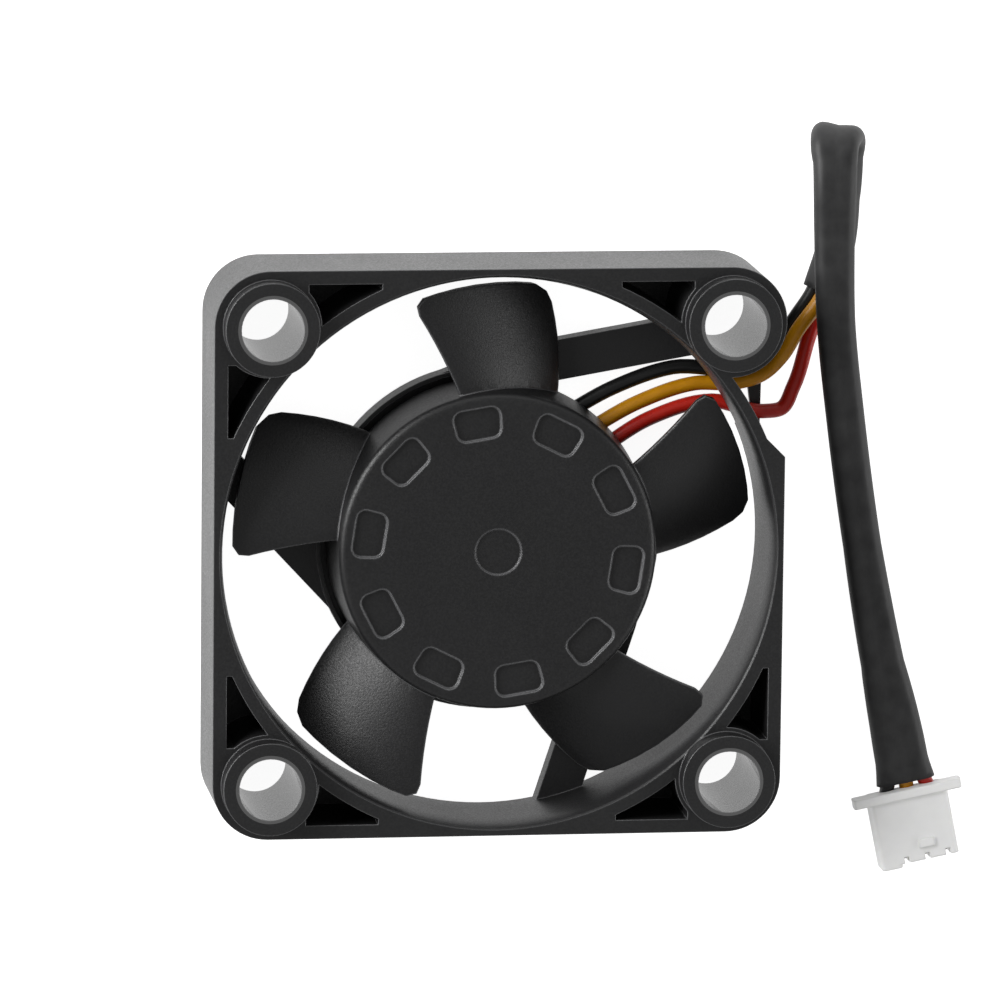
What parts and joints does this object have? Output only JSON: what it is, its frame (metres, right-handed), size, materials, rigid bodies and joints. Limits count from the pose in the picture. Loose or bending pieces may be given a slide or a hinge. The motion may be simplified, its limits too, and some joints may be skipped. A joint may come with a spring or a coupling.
{
  "type": "axial cooling fan",
  "caption": "Flat square axial fan with a bladed rotor on an external-rotor motor, raised corner mounting rings, and a short sleeved lead with a small plug.",
  "frame": {"origin": "where the rotor's axis meets the rear plane of the housing, which is the centre of the housing's bottom", "axes": "+Z along the rotor's axis from the rear plane towards the inlet side with the plain hub face, +X towards the side where the lead comes out, +Y towards the corner with the lead outlet"},
  "size_m": [0.0538, 0.0536, 0.01],
  "materials": {
    "black_moulding": "fine-grained black glass-filled moulding with a soft sheen",
    "label_film": "blank satin film",
    "turned_brass": "turned",
    "sintered_bronze": "oil-soaked sintered bronze",
    "low_friction_plastic": "natural waxy plastic",
    "board_laminate": "green solder mask",
    "chip_epoxy": "moulded epoxy",
    "chip_ceramic": "fired ceramic",
    "insulator_nylon": "natural nylon",
    "electrical_steel": "pressed sheet",
    "enamelled_copper": "enamelled copper wire",
    "solder": "bright solder",
    "bonded_ferrite": "bonded ferrite",
    "ground_steel": "ground and polished",
    "heat_shrink": "satin black tubing",
    "black_insulation": "smooth insulation",
    "yellow_insulation": "smooth insulation",
    "red_insulation": "smooth insulation",
    "white_nylon": "white moulded nylon",
    "tinned_contact": "tin plated"
  },
  "bodies": {
    "housing": {"frame_housing": "black_moulding", "rear_label": "label_film", "bearing_tube": "turned_brass", "sleeve_bearing": "sintered_bronze", "thrust_pad": "low_friction_plastic", "circuit_board": "board_laminate", "hall_sensor": "chip_epoxy", "driver_chip": "chip_epoxy", "capacitor": "chip_ceramic", "resistors": "chip_epoxy", "lower_insulator": "insulator_nylon", "stator_core": "electrical_steel", "upper_insulator": "insulator_nylon", "coil_windings": "enamelled_copper", "terminal_pins": "turned_brass", "solder_joints": "solder", "heat_shrink_sleeve": "heat_shrink", "black_lead": "black_insulation", "yellow_lead": "yellow_insulation", "red_lead": "red_insulation", "connector_housing": "white_nylon", "connector_contacts": "tinned_contact"},
    "rotor": {"impeller": "black_moulding", "rotor_yoke": "electrical_steel", "ring_magnet": "bonded_ferrite", "shaft": "ground_steel", "shaft_bush": "turned_brass", "oil_slinger": "low_friction_plastic", "retaining_clip": "low_friction_plastic"}
  },
  "joints": [
    {"name": "spin", "type": "hinge", "parent": "housing", "child": "rotor", "pos_m": [0, 0, 0.004], "axis": [0, 0, 1], "continuous": true}
  ]
}
